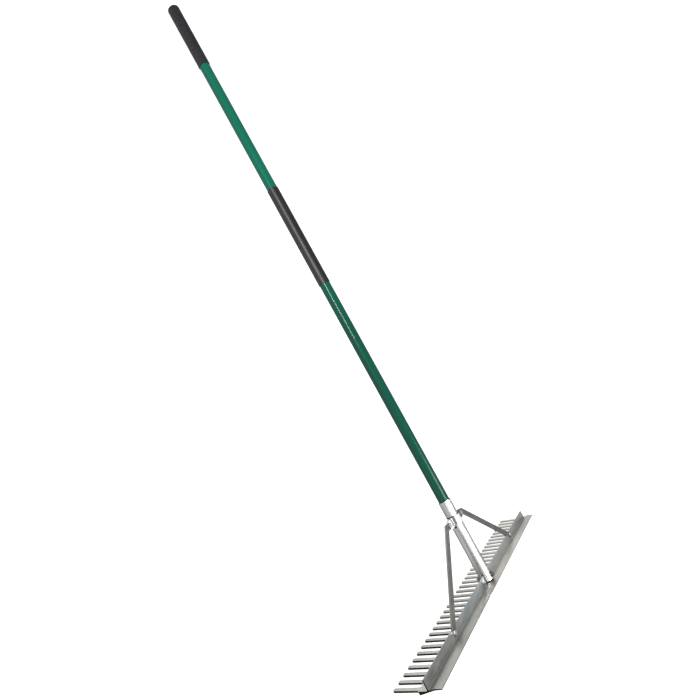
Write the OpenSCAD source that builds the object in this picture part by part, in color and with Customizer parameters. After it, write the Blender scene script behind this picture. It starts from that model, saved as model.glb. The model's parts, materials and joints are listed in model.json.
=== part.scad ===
// Landscape rake: a toothed aluminium head, braced to a socket tube on a long fibreglass handle.
// Millimetres. The rake lies on its tooth tips and the end of its grip, teeth down, at z = 0.
// X runs along the head, Y along the handle towards the grip, Z is up.
// Each sub-part is drawn with the handle's axis on Y and the top of the head's base plate at y = 0,
// then lay() tips it to the resting slope.

/* [Teeth] */
// Number of teeth
tooth_count = 36; // [8:1:48]
// Distance from one tooth to the next
tooth_pitch = 25.4; // [18:0.2:32]
// Length of a tooth from its root to its tip
tooth_len = 52.5; // [30:0.5:80]
// Width of a tooth at its root
tooth_root_w = 8.6; // [6:0.1:11]
// Width of a tooth at its tip
tooth_tip_w = 6.6; // [4:0.1:9]
// Thickness of the teeth
tooth_t = 3.0; // [2:0.1:4]
// Lean of the teeth towards the grip, from square to the handle
tooth_angle = 13.5; // [0:0.5:25]
// Radius in the corners at the root of each gap
gap_fillet = 4.5; // [1:0.1:6]
// Cut across the corners of each tip
tip_chamfer = 1.2; // [0.2:0.1:1.8]

/* [Head extrusion] */
// Length cut off the half gap at each end of the head
end_trim = 4.2; // [0:0.1:6]
// Thickness of the base plate
base_t = 3.2; // [2:0.1:6]
// Distance from the handle's axis back to the heel below the teeth
heel_back = 19; // [17:0.5:26]
// Distance from the handle's axis to the bend where the grading blade starts
bend_front = 13.5; // [10:0.5:20]
// Width of the grading blade
blade_w = 15; // [8:0.5:30]
// Thickness of the grading blade at its edge
blade_edge_t = 1.8; // [1:0.1:3]
// Slope of the grading blade, away from the grip
blade_angle = 16.5; // [0:0.5:30]
// Height of the upright flange
flange_h = 20; // [18:0.5:40]
// Thickness of the upright flange
flange_t = 2.5; // [1.5:0.1:5]
// Radius at the foot of the flange
flange_fillet = 1.6; // [0.5:0.1:2.5]
// Distance from the handle's axis back to where the tooth plate leaves the base plate
tooth_rise = 4.4; // [3.5:0.1:8]

/* [Socket tube] */
// Wall of the socket tube
socket_wall = 1.3; // [0.8:0.1:3]
// Height of the socket tube's top above the base plate
socket_top = 214; // [190:1:300]
// Gap between the handle and the socket tube, on the radius
socket_clear = 0.1; // [0.05:0.05:0.5]
// Gap on each side of the flange in the tube's slot
slot_clear = 0.15; // [0.05:0.05:0.5]
// Gap between the tube's lower end and the tooth plate, and round the ears in the braces
seat_clear = 0.3; // [0.1:0.1:1]
// Length of the tube's slot above the flange
slot_over = 4; // [0.5:0.5:8]
// Height of the socket bolt above the base plate
socket_bolt_up = 12; // [10:0.5:14]
// Diameter of the saddle washers under the socket bolt
saddle_d = 14; // [12:0.5:18]
// Thickness of the saddle washers at their crown
saddle_t = 1.5; // [0.8:0.1:3]
// Height above the base plate of the rivet that holds the handle
rivet_up = 148.8; // [80:0.1:149]
// Diameter of the rivet
rivet_d = 4.8; // [3:0.1:6]
// Diameter of the rivet's heads
rivet_head_d = 6.4; // [5:0.1:7]
// Height of the rivet's heads above the tube
rivet_head_t = 1.2; // [0.5:0.1:2]
// Gap round the rivet, on the radius
rivet_clear = 0.1; // [0.05:0.05:0.3]

/* [Handle and grips] */
// Diameter of the handle
handle_d = 28.6; // [25:0.1:36]
// Wall of the handle
handle_wall = 4; // [2:0.1:6]
// Length of the handle
handle_len = 1676; // [1200:1:1900]
// Height of the handle's lower end above the base plate
handle_foot = 45; // [30:1:80]
// Length of the core plug in the handle's lower end
plug_len = 150; // [120:1:250]
// Gap between the core plug and the handle, on the radius
plug_clear = 0.1; // [0.05:0.05:0.3]
// Gap between a grip and the handle, on the radius
grip_clear = 0.1; // [0.05:0.05:0.3]
// Wall of the end grip
end_grip_wall = 1.8; // [1:0.1:4]
// Length of the end grip
end_grip_len = 198; // [120:1:300]
// Thickness of the end grip's closed end
end_grip_cap = 4; // [2:0.5:8]
// Radius round the closed end
end_grip_round = 9; // [3:0.5:12]
// Wall of the middle grip
mid_grip_wall = 1.1; // [0.8:0.1:4]
// Length of the middle grip
mid_grip_len = 291; // [150:1:400]
// Height of the middle grip's lower end above the base plate
mid_grip_foot = 836; // [500:1:900]
// Radius on the rims of the grips
grip_rim = 0.5; // [0.2:0.1:0.6]

/* [Braces and clamp] */
// Width of a brace, a flattened tube
brace_w = 11; // [9:0.5:16]
// Wall of a brace
brace_wall = 0.8; // [0.5:0.1:1.5]
// Distance from the handle's axis to the bolt at the foot of each brace
brace_foot_x = 272; // [180:1:380]
// Height of the bolt at the foot of each brace above the base plate
brace_foot_up = 11.5; // [11:0.5:13]
// Length of the level stretch of a brace beyond its clamp bolt
brace_level = 17; // [14:1:60]
// Height of the clamp's middle above the base plate
clamp_up = 163.5; // [120:0.5:180]
// Height of the clamp straps along the tube
strap_w = 20.5; // [16:0.5:24]
// Thickness of the clamp straps
strap_t = 1.25; // [0.8:0.05:2]
// Inner radius of the bend from a strap into its ears, at mid thickness
strap_bend = 4; // [2:0.5:8]
// Gap between the clamp straps and the socket tube, on the radius
strap_clear = 0.1; // [0.05:0.05:0.4]
// Distance from the band round the tube to each clamp bolt
ear_reach = 30; // [20:0.5:40]
// Length of an ear beyond its bolt
ear_end = 7; // [6:0.5:12]

/* [Bolts] */
// Diameter of the bolts
bolt_d = 6; // [4:0.5:8]
// Gap between a bolt and its holes, on the radius
bolt_clear = 0.2; // [0.1:0.05:0.5]
// Gap between a bolt and its nut, on the radius
thread_clear = 0.05; // [0.02:0.01:0.1]
// Width of the bolt heads and nuts across their flats
hex_af = 10; // [8:0.5:11]
// Height of the bolt heads
head_h = 3.5; // [2:0.5:6]
// Height of the nuts
nut_h = 5; // [3:0.5:7]
// Diameter of the flat washers
washer_d = 12; // [10:0.5:14]
// Thickness of the flat washers
washer_t = 1.2; // [0.6:0.1:2]
// Length of a bolt that stands out of its nut
bolt_tail = 1.8; // [0.5:0.1:4]

/* [Hidden] */
round_fn = 64;
reach = 1;
head_half = tooth_count * tooth_pitch / 2 - end_trim;
socket_ri = handle_d / 2 + socket_clear;
socket_r = socket_ri + socket_wall;
// Point of the tooth plate, as height y and depth z, on its upper face at the flange and at the tip
root_start = tooth_rise;
root_depth = (heel_back - root_start) / cos(tooth_angle);
tip_run = root_depth + tooth_len;
function tooth_point(run, under) = [
    run * sin(tooth_angle) - under * cos(tooth_angle),
    -root_start - run * cos(tooth_angle) - under * sin(tooth_angle)
];
// Lower end of the socket tube, clear of the tooth plate's slope and of the flange's fillets
socket_foot = max((socket_r - tooth_rise) * tan(tooth_angle), flange_fillet) + seat_clear;
slot_top = flange_h + slot_over;
// The braces lie in the flange's plane and take the flange, or two ears, between their walls
brace_in_t = max(flange_t, 2 * strap_t) + 2 * slot_clear;
brace_t = brace_in_t + 2 * brace_wall;
brace_front = brace_t / 2;
// The hardware of a brace is alike at its clamp and at its foot
brace_nut_top = -brace_front - washer_t;
brace_bolt_end = brace_nut_top - nut_h - bolt_tail;
band_ri = socket_r + strap_clear;
band_r = band_ri + strap_t;
clamp_bolt_x = band_r + ear_reach;
// Centre of the bend from the band into an ear, tangent to both
bend_y = strap_t / 2 + strap_bend;
bend_x = sqrt(pow(band_ri + strap_t / 2 + strap_bend, 2) - bend_y * bend_y);
bend_turn = atan2(bend_y, bend_x);
// Small laps, so that the band, its bends and its ears make one solid
strap_lap = 1;
ear_lap = 0.2;
brace_knee_x = clamp_bolt_x + brace_level;
// Small lap, so that a brace's two stretches make one solid at the knee
brace_lap = 0.5;
hole_r = bolt_d / 2 + bolt_clear;
saddle_seat = socket_r + strap_clear;
saddle_top = saddle_seat + saddle_t;
// Grips
grip_ri = handle_d / 2 + grip_clear;
end_grip_r = grip_ri + end_grip_wall;
mid_grip_r = grip_ri + mid_grip_wall;
handle_top = handle_foot + handle_len;
end_grip_top = handle_top + grip_clear + end_grip_cap;
end_grip_foot = end_grip_top - end_grip_len;
// Resting slope: the lower corners of the tips and the rounded end of the grip touch one plane
tip_low = tooth_point(tip_run, tooth_t);
grip_turn_y = end_grip_top - end_grip_round;
grip_turn_z = end_grip_r - end_grip_round;
rest_a = grip_turn_y - tip_low[0];
rest_b = tip_low[1] + grip_turn_z;
rest_tilt = atan2(rest_b, rest_a) + asin(end_grip_round / sqrt(rest_a * rest_a + rest_b * rest_b));
function laid_y(p) = p[0] * cos(rest_tilt) - p[1] * sin(rest_tilt);
function laid_z(p) = p[0] * sin(rest_tilt) + p[1] * cos(rest_tilt);
// Corners of the grading blade's edge, as height and depth
blade_drop = blade_w * sin(blade_angle);
blade_reach = blade_w * cos(blade_angle);
edge_upper = [-blade_drop, bend_front + blade_reach];
edge_lower = edge_upper + blade_edge_t * [-cos(blade_angle), -sin(blade_angle)];
rest_front = min(laid_y(edge_lower), laid_y(edge_upper), laid_y([-base_t, -heel_back]));
rest_end = laid_y([grip_turn_y, grip_turn_z]) + end_grip_round;
rest_mid = (rest_front + rest_end) / 2;

// Tips a sub-part to the resting slope and puts the middle of the rake's length over the origin
module lay() {
    translate([0, -rest_mid, -laid_z(tip_low)])
    rotate([rest_tilt, 0, 0])
    children();
}

// Turns a shape drawn along Z so that it stands along the handle, from height y
module along_handle(y) {
    translate([0, y, 0])
    rotate([-90, 0, 0])
    children();
}

// A straight length of tube along the handle
module tube(r_out, r_in, y_from, y_to) {
    along_handle(y_from)
    difference() {
        cylinder(h = y_to - y_from, r = r_out, $fn = round_fn);
        translate([0, 0, -reach])
        cylinder(h = y_to - y_from + 2 * reach, r = r_in, $fn = round_fn);
    }
}

// A round bar along Z between two depths, at a place on the flange's plane
module cross_bar(x, y, r, z_from, z_to) {
    translate([x, y, z_from])
    cylinder(h = z_to - z_from, r = r, $fn = round_fn);
}

// A round bar along X between two places, across the handle's axis at height y
module side_bar(y, r, x_half) {
    translate([-x_half, y, 0])
    rotate([0, 90, 0])
    cylinder(h = 2 * x_half, r = r, $fn = round_fn);
}

// A hexagonal prism along Z between two depths
module cross_hex(x, y, z_from, z_to) {
    translate([x, y, z_from])
    cylinder(h = z_to - z_from, r = hex_af / 2 / cos(30), $fn = 6);
}

// A concave fillet that fills the corner at the origin, towards plus x and plus y
module corner_fillet(r) {
    difference() {
        square(r);
        translate([r, r])
        circle(r = r, $fn = round_fn);
    }
}

// Section of the extruded head, as height and depth: base plate, flange, blade and foot of the teeth
module head_section() {
    root_upper = tooth_point(root_depth, 0);
    union() {
        polygon([
            [0, -root_start],
            root_upper,
            tooth_point(root_depth, tooth_t),
            [-base_t, -heel_back],
            [-base_t, bend_front - base_t * tan(blade_angle / 2)],
            edge_lower,
            edge_upper,
            [0, bend_front]
        ]);
        translate([-base_t / 2, -flange_t / 2])
        square([flange_h + base_t / 2 - flange_t / 2, flange_t]);
        translate([flange_h - flange_t / 2, 0])
        circle(d = flange_t, $fn = round_fn);
        translate([0, flange_t / 2])
        corner_fillet(flange_fillet);
        translate([0, -flange_t / 2])
        mirror([0, 1])
        corner_fillet(flange_fillet);
    }
}

// One gap between two teeth, along the tooth plate from the root: rounded corners, wider at the tips
module gap_outline() {
    root_half = (tooth_pitch - tooth_root_w) / 2;
    tip_half = (tooth_pitch - tooth_tip_w) / 2;
    wide_half = tip_half + tip_chamfer;
    polygon([
        [-root_half, gap_fillet],
        [root_half, gap_fillet],
        [tip_half, tooth_len - tip_chamfer],
        [wide_half, tooth_len],
        [wide_half, tooth_len + reach],
        [-wide_half, tooth_len + reach],
        [-wide_half, tooth_len],
        [-tip_half, tooth_len - tip_chamfer]
    ]);
    translate([gap_fillet - root_half, 0])
    square([2 * (root_half - gap_fillet), gap_fillet + reach]);
    for (side = [-1, 1]) {
        translate([side * (root_half - gap_fillet), gap_fillet])
        circle(r = gap_fillet, $fn = round_fn);
    }
}

// The flat comb of teeth, from inside the base plate to the tips
module comb_outline() {
    difference() {
        translate([-head_half, -root_depth / 2])
        square([2 * head_half, root_depth / 2 + tooth_len]);
        for (n = [0 : tooth_count]) {
            translate([(n - tooth_count / 2) * tooth_pitch, 0])
            gap_outline();
        }
    }
}

module rake_head() {
    color([0.70, 0.71, 0.72])
    lay()
    difference() {
        union() {
            translate([-head_half, 0, 0])
            rotate([90, 0, 90])
            linear_extrude(height = 2 * head_half)
            head_section();
            translate([0, 0, -root_start])
            rotate([tooth_angle - 90, 0, 0])
            translate([0, root_depth, -tooth_t])
            linear_extrude(height = tooth_t)
            comb_outline();
        }
        cross_bar(0, socket_bolt_up, hole_r, -flange_t, flange_t);
        for (side = [-1, 1]) {
            cross_bar(side * brace_foot_x, brace_foot_up, hole_r, -flange_t, flange_t);
        }
    }
}

module socket_tube() {
    color([0.82, 0.83, 0.84])
    lay()
    difference() {
        tube(socket_r, socket_ri, socket_foot, socket_top);
        translate([-socket_r - reach, socket_foot - reach, -flange_t / 2 - slot_clear])
        cube([2 * (socket_r + reach), slot_top - socket_foot + reach, flange_t + 2 * slot_clear]);
        cross_bar(0, socket_bolt_up, hole_r, -socket_r - reach, socket_r + reach);
        rivet_hole();
    }
}

// The hole for the rivet, right across the tube
module rivet_hole() {
    side_bar(rivet_up, rivet_d / 2 + rivet_clear, socket_r + reach);
}

module handle() {
    color([0.12, 0.42, 0.33])
    lay()
    difference() {
        tube(handle_d / 2, handle_d / 2 - handle_wall, handle_foot, handle_top);
        rivet_hole();
    }
}

module handle_plug() {
    color([0.72, 0.58, 0.40])
    lay()
    difference() {
        along_handle(handle_foot)
        cylinder(h = plug_len, r = handle_d / 2 - handle_wall - plug_clear, $fn = round_fn);
        rivet_hole();
    }
}

// Rivet through the socket tube, the handle and its plug, with heads set down on the tube
module handle_rivet() {
    head_x = socket_r + rivet_head_t;
    color([0.74, 0.75, 0.76])
    lay()
    union() {
        side_bar(rivet_up, rivet_d / 2, head_x);
        difference() {
            side_bar(rivet_up, rivet_head_d / 2, head_x);
            along_handle(rivet_up - rivet_head_d)
            cylinder(h = 2 * rivet_head_d, r = socket_r + rivet_clear, $fn = round_fn);
        }
    }
}

// Half section of a grip with rounded rims, as radius and height
module grip_section(r_in, r_out, length) {
    translate([r_in, grip_rim])
    square([r_out - r_in, length - 2 * grip_rim]);
    translate([r_in, 0])
    square([r_out - r_in - grip_rim, length]);
    for (y = [grip_rim, length - grip_rim]) {
        translate([r_out - grip_rim, y])
        circle(r = grip_rim, $fn = round_fn);
    }
}

module mid_grip() {
    color([0.17, 0.18, 0.19])
    lay()
    along_handle(mid_grip_foot)
    rotate_extrude($fn = round_fn)
    grip_section(grip_ri, mid_grip_r, mid_grip_len);
}

module end_grip() {
    turn = end_grip_len - end_grip_round;
    color([0.18, 0.18, 0.19])
    lay()
    along_handle(end_grip_foot)
    difference() {
        rotate_extrude($fn = round_fn)
        union() {
            translate([0, grip_rim])
            square([end_grip_r, turn - grip_rim]);
            square([end_grip_r - grip_rim, grip_rim]);
            translate([end_grip_r - grip_rim, grip_rim])
            intersection() {
                circle(r = grip_rim, $fn = round_fn);
                translate([0, -grip_rim])
                square(grip_rim);
            }
            translate([0, turn])
            square([end_grip_r - end_grip_round, end_grip_round]);
            translate([end_grip_r - end_grip_round, turn])
            intersection() {
                circle(r = end_grip_round, $fn = round_fn);
                square(end_grip_round);
            }
        }
        translate([0, 0, -reach])
        cylinder(h = reach + end_grip_len - end_grip_cap, r = grip_ri, $fn = round_fn);
    }
}

// Outline of one brace on the plus X side: level at the clamp, then down to the flange
module brace_outline(w) {
    run = [brace_foot_x - brace_knee_x, brace_foot_up - clamp_up];
    for (end = [[clamp_bolt_x, clamp_up], [brace_knee_x, clamp_up], [brace_foot_x, brace_foot_up]]) {
        translate(end)
        circle(d = w, $fn = round_fn);
    }
    translate([clamp_bolt_x, clamp_up - w / 2])
    square([brace_level, w]);
    translate([brace_knee_x, clamp_up])
    rotate(atan2(run[1], run[0]))
    translate([-brace_lap, -w / 2])
    square([norm(run) + brace_lap, w]);
}

// The hollow of a brace, with the slots that take the clamp's ears and the flange
module brace_hollow() {
    ear_x = clamp_bolt_x + ear_end + seat_clear;
    ear_w = strap_w + 2 * seat_clear;
    brace_outline(brace_w - 2 * brace_wall);
    translate([0, clamp_up - ear_w / 2])
    square([ear_x, ear_w]);
    translate([0, -reach])
    square([brace_foot_x + brace_w, flange_h + seat_clear + reach]);
}

// One brace: a flattened tube, slotted at its ends to straddle the flange and the clamp's ears
module brace() {
    difference() {
        translate([0, 0, -brace_t / 2])
        linear_extrude(height = brace_t)
        brace_outline(brace_w);
        translate([0, 0, -brace_in_t / 2])
        linear_extrude(height = brace_in_t)
        brace_hollow();
        cross_bar(clamp_bolt_x, clamp_up, hole_r, -brace_t, brace_t);
        cross_bar(brace_foot_x, brace_foot_up, hole_r, -brace_t, brace_t);
    }
}

module brace_right() {
    color([0.47, 0.47, 0.46])
    lay()
    brace();
}

module brace_left() {
    color([0.47, 0.47, 0.46])
    lay()
    mirror([1, 0, 0])
    brace();
}

// A ring sector that opens upwards, from one angle to its mirror image
module upper_ring(r_in, r_out, from) {
    far = 4 * r_out;
    intersection() {
        difference() {
            circle(r = r_out, $fn = round_fn);
            circle(r = r_in, $fn = round_fn);
        }
        polygon([
            [0, 0],
            far * [cos(from), sin(from)],
            far * [cos(from), 1],
            far * [-cos(from), 1],
            far * [-cos(from), sin(from)]
        ]);
    }
}

// Section of one clamp strap across the handle: a band over the tube, bent out into two flat ears
module strap_section() {
    ear_x = clamp_bolt_x + ear_end;
    bend_in = strap_bend - strap_t / 2;
    bend_out = strap_bend + strap_t / 2;
    upper_ring(band_ri, band_r, bend_turn - strap_lap);
    for (side = [0, 1]) {
        mirror([side, 0])
        union() {
            translate([bend_x, bend_y])
            difference() {
                circle(r = bend_out, $fn = round_fn);
                circle(r = bend_in, $fn = round_fn);
                translate([0, -2 * bend_out])
                square(4 * bend_out);
                rotate(bend_turn)
                translate([-2 * bend_out, 0])
                square([4 * bend_out, 2 * bend_out]);
            }
            translate([bend_x - ear_lap, 0])
            square([ear_x - bend_x + ear_lap, strap_t]);
        }
    }
}

// One clamp strap with its bolt holes, on the minus Z side of the handle
module clamp_strap() {
    difference() {
        along_handle(clamp_up - strap_w / 2)
        linear_extrude(height = strap_w)
        strap_section();
        for (side = [-1, 1]) {
            cross_bar(side * clamp_bolt_x, clamp_up, hole_r, -2 * strap_t, strap_t);
        }
    }
}

module clamp_front() {
    color([0.80, 0.81, 0.82])
    lay()
    mirror([0, 0, 1])
    clamp_strap();
}

module clamp_back() {
    color([0.80, 0.81, 0.82])
    lay()
    clamp_strap();
}

// A bolt along Z: its head stands on z_head, its end comes out at z_end
module bolt(x, y, z_head, z_end) {
    cross_bar(x, y, bolt_d / 2, z_end, z_head + head_h / 2);
    cross_hex(x, y, z_head, z_head + head_h);
}

// A nut or a washer along Z, with its bore
module nut(x, y, z_top) {
    difference() {
        cross_hex(x, y, z_top - nut_h, z_top);
        cross_bar(x, y, bolt_d / 2 + thread_clear, z_top - nut_h - reach, z_top + reach);
    }
}

module washer(x, y, z_top) {
    difference() {
        cross_bar(x, y, washer_d / 2, z_top - washer_t, z_top);
        cross_bar(x, y, hole_r, z_top - washer_t - reach, z_top + reach);
    }
}

module clamp_bolts() {
    color([0.62, 0.62, 0.60])
    lay()
    for (side = [-1, 1]) {
        bolt(side * clamp_bolt_x, clamp_up, brace_front, brace_bolt_end);
    }
}

module clamp_washers() {
    color([0.66, 0.66, 0.64])
    lay()
    for (side = [-1, 1]) {
        washer(side * clamp_bolt_x, clamp_up, -brace_front);
    }
}

module clamp_nuts() {
    color([0.55, 0.55, 0.53])
    lay()
    for (side = [-1, 1]) {
        nut(side * clamp_bolt_x, clamp_up, brace_nut_top);
    }
}

module brace_bolts() {
    color([0.62, 0.62, 0.60])
    lay()
    for (side = [-1, 1]) {
        bolt(side * brace_foot_x, brace_foot_up, brace_front, brace_bolt_end);
    }
}

module brace_washers() {
    color([0.66, 0.66, 0.64])
    lay()
    for (side = [-1, 1]) {
        washer(side * brace_foot_x, brace_foot_up, -brace_front);
    }
}

module brace_nuts() {
    color([0.55, 0.55, 0.53])
    lay()
    for (side = [-1, 1]) {
        nut(side * brace_foot_x, brace_foot_up, brace_nut_top);
    }
}

module socket_bolt() {
    color([0.62, 0.62, 0.60])
    lay()
    bolt(0, socket_bolt_up, saddle_top, -saddle_top - nut_h - bolt_tail);
}

// Washers hollowed to sit on the tube, one on each side of it
module socket_saddles() {
    color([0.66, 0.66, 0.64])
    lay()
    for (side = [0, 1]) {
        mirror([0, 0, side])
        difference() {
            cross_bar(0, socket_bolt_up, saddle_d / 2, 0, saddle_top);
            along_handle(socket_bolt_up - saddle_d)
            cylinder(h = 2 * saddle_d, r = saddle_seat, $fn = round_fn);
            cross_bar(0, socket_bolt_up, hole_r, 0, saddle_top + reach);
        }
    }
}

module socket_nut() {
    color([0.55, 0.55, 0.53])
    lay()
    nut(0, socket_bolt_up, -saddle_top);
}

rake_head();
socket_tube();
handle();
handle_plug();
mid_grip();
end_grip();
handle_rivet();
brace_left();
brace_right();
clamp_front();
clamp_back();
clamp_bolts();
clamp_washers();
clamp_nuts();
brace_bolts();
brace_washers();
brace_nuts();
socket_bolt();
socket_saddles();
socket_nut();
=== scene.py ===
"""Landscape rake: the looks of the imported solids, laid out as an add-on with one tool per piece."""

import json
import math

import bmesh
import bpy
from mathutils import Matrix, Vector


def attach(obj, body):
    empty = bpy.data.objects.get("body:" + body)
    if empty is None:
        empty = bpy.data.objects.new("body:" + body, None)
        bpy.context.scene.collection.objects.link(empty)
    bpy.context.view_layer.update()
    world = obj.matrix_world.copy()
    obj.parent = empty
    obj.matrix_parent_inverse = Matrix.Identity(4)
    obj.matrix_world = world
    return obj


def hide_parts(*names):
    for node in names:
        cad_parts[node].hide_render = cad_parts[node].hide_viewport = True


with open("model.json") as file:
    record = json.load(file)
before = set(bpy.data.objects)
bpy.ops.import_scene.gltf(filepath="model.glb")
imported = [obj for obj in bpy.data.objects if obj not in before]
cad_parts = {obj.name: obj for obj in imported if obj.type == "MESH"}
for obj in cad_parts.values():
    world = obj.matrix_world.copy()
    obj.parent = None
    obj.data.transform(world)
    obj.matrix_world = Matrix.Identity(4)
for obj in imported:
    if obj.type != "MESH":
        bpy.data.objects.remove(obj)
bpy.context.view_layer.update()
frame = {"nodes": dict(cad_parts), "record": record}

bl_info = {
    "name": "Landscape rake",
    "version": (1, 0, 0),
    "blender": (4, 5, 0),
    "location": "3D View > Sidebar > Rake",
    "description": "Dresses the solids of a landscape rake and sets them in a plain studio",
    "category": "Object",
}

# The rake's own frame: Y up the handle from the base plate, X along the head, Z out of the flange's front.
GRIP = frame["record"]["mounts"][0]
AXIS = Vector(GRIP["axis"])
TILT = math.atan2(AXIS.z, AXIS.y)
# Height of the grip's mount above the base plate
GRIP_UP = 1.62185
REST = Matrix.Translation(Vector(GRIP["pos_m"]) - GRIP_UP * AXIS) @ Matrix.Rotation(TILT, 4, "X")
OWN = REST.inverted()

# Steps in a full turn of a round piece and of a thread
TURN_STEPS = 96
THREAD_STEPS = 24
# Points of a CAD mesh this near are one point, and faces this near to one plane are one face
SAME_POINT = 2e-6
SAME_PLANE = math.radians(0.3)
# Edges that turn by more than this get a roll
SHARP_EDGE = math.radians(32)
# Rolls on the pieces' edges, as shares of the edge roll
EXTRUDED_ROLL = 0.7
STRAP_ROLL = 0.8
FASTENER_ROLL = 1.2
# Bolts, nuts and washers, with the sides of the rake that they stand on
FASTENERS = (
    ("clamp_bolts", "clamp_nuts", "clamp_washers", (-1, 1)),
    ("brace_bolts", "brace_nuts", "brace_washers", (-1, 1)),
    ("socket_bolt", "socket_nut", "socket_saddles", (0,)),
)


class RakeSizes(bpy.types.PropertyGroup):
    """Sizes of the pieces that are made anew, and of the detail that the solids leave out."""
    edge_roll: bpy.props.FloatProperty(
        name="Edge roll", description="Radius on the sheared and cut edges of the metal pieces",
        default=0.0004, min=0.0001, max=0.001, precision=5, unit="LENGTH")
    tooth_pitch: bpy.props.FloatProperty(
        name="Tooth pitch", description="Distance from one tooth to the next",
        default=0.0254, min=0.018, max=0.032, precision=5, unit="LENGTH")
    gap_kept: bpy.props.FloatProperty(
        name="Gap kept", description="Share of its width that each gap keeps as its teeth are widened",
        default=0.8468468, min=0.7, max=1, precision=5, subtype="FACTOR")
    tooth_depth: bpy.props.FloatProperty(
        name="Tooth depth", description="Thickness added to the underside of the teeth",
        default=0.0008, min=0, max=0.0015, precision=5, unit="LENGTH")
    thread_pitch: bpy.props.FloatProperty(
        name="Thread pitch", description="Distance from one turn of a bolt's thread to the next",
        default=0.001, min=0.0005, max=0.002, precision=5, unit="LENGTH")
    shank: bpy.props.FloatProperty(
        name="Shank", description="Diameter of the bolts' shanks",
        default=0.006, min=0.004, max=0.01, precision=5, unit="LENGTH")
    thread_depth: bpy.props.FloatProperty(
        name="Thread depth", description="Height of a bolt's thread above its core",
        default=0.0005, min=0.0002, max=0.001, precision=5, unit="LENGTH")
    brace_knee: bpy.props.FloatProperty(
        name="Brace knee", description="Distance from a clamp bolt to the bend of its brace",
        default=0.017, min=0.014, max=0.06, precision=5, unit="LENGTH")
    brace_spread: bpy.props.FloatProperty(
        name="Brace spread", description="Width added to each side of a brace as its tube is flattened",
        default=0.0021, min=0, max=0.003, precision=5, unit="LENGTH")
    brace_roll: bpy.props.FloatProperty(
        name="Brace roll", description="Radius along the sides of a flattened brace",
        default=0.00075, min=0.0002, max=0.0012, precision=5, unit="LENGTH")
    handle_wall: bpy.props.FloatProperty(
        name="Handle wall", description="Thickness of the handle's wall",
        default=0.004, min=0.002, max=0.006, precision=5, unit="LENGTH")
    grip_play: bpy.props.FloatProperty(
        name="Grip play", description="Room between the handle and the grips on it",
        default=0.0001, min=0, max=0.0005, precision=5, unit="LENGTH")
    grip_cap: bpy.props.FloatProperty(
        name="Grip cap", description="Thickness of the end grip's closed end",
        default=0.004, min=0.002, max=0.008, precision=5, unit="LENGTH")
    grip_dome: bpy.props.FloatProperty(
        name="Grip dome", description="Radius round the end grip's closed end",
        default=0.009, min=0.002, max=0.016, precision=5, unit="LENGTH")
    grip_ribs: bpy.props.IntProperty(
        name="Grip ribs", description="Number of lengthwise ribs round the end grip",
        default=36, min=12, max=72)


class RakeColours(bpy.types.PropertyGroup):
    """Main colours of the finishes."""
    head: bpy.props.FloatVectorProperty(
        name="Head", description="Mill-finish aluminium of the head", subtype="COLOR",
        size=3, min=0, max=1, default=(0.338, 0.333, 0.306))
    tube: bpy.props.FloatVectorProperty(
        name="Socket tube", description="Bright drawn aluminium of the socket tube", subtype="COLOR",
        size=3, min=0, max=1, default=(0.86, 0.86, 0.85))
    rivet: bpy.props.FloatVectorProperty(
        name="Rivet", description="Dark steel of the rivet through the socket tube", subtype="COLOR",
        size=3, min=0, max=1, default=(0.045, 0.045, 0.045))
    brace: bpy.props.FloatVectorProperty(
        name="Braces", description="Dull aluminium of the braces", subtype="COLOR",
        size=3, min=0, max=1, default=(0.138, 0.138, 0.130))
    strap: bpy.props.FloatVectorProperty(
        name="Clamp", description="Zinc-plated steel of the clamp straps", subtype="COLOR",
        size=3, min=0, max=1, default=(0.80, 0.81, 0.82))
    zinc: bpy.props.FloatVectorProperty(
        name="Hardware", description="Zinc plate of the bolts, nuts and washers", subtype="COLOR",
        size=3, min=0, max=1, default=(0.46, 0.46, 0.44))
    fibreglass: bpy.props.FloatVectorProperty(
        name="Handle", description="Green of the fibreglass handle", subtype="COLOR",
        size=3, min=0, max=1, default=(0.001, 0.037, 0.023))
    core: bpy.props.FloatVectorProperty(
        name="Core plug", description="Wood of the plug in the handle's lower end", subtype="COLOR",
        size=3, min=0, max=1, default=(0.42, 0.27, 0.14))
    vinyl: bpy.props.FloatVectorProperty(
        name="Grips", description="Black of the vinyl grips", subtype="COLOR",
        size=3, min=0, max=1, default=(0.0042, 0.0044, 0.0056))


class StudioSettings(bpy.types.PropertyGroup):
    """Floor, light and camera."""
    floor: bpy.props.FloatVectorProperty(
        name="Floor", description="Pale colour of the floor", subtype="COLOR",
        size=3, min=0, max=1, default=(0.30, 0.30, 0.30))
    glow: bpy.props.FloatProperty(
        name="Floor glow", description="Light that the backlit floor gives off", default=0.88, min=0, max=2)
    sky: bpy.props.FloatProperty(
        name="Sky", description="Strength of the soft light from all round", default=1.0, min=0, max=5)
    overhead: bpy.props.FloatProperty(
        name="Overhead light", description="Power of the large soft light above the head",
        default=54, min=0, max=500, subtype="POWER")
    strip: bpy.props.FloatProperty(
        name="Strip light", description="Power of the long strip light beside the camera",
        default=60, min=0, max=500, subtype="POWER")
    lens: bpy.props.FloatProperty(
        name="Lens", description="Focal length on a 36 mm sensor", default=32.69, min=10, max=200,
        subtype="DISTANCE_CAMERA")


def shade(colour, factor):
    """A colour made lighter or darker, with full alpha."""
    return tuple(min(1.0, part * factor) for part in colour[:3]) + (1,)


def grey(value):
    return value, value, value, 1


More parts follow.
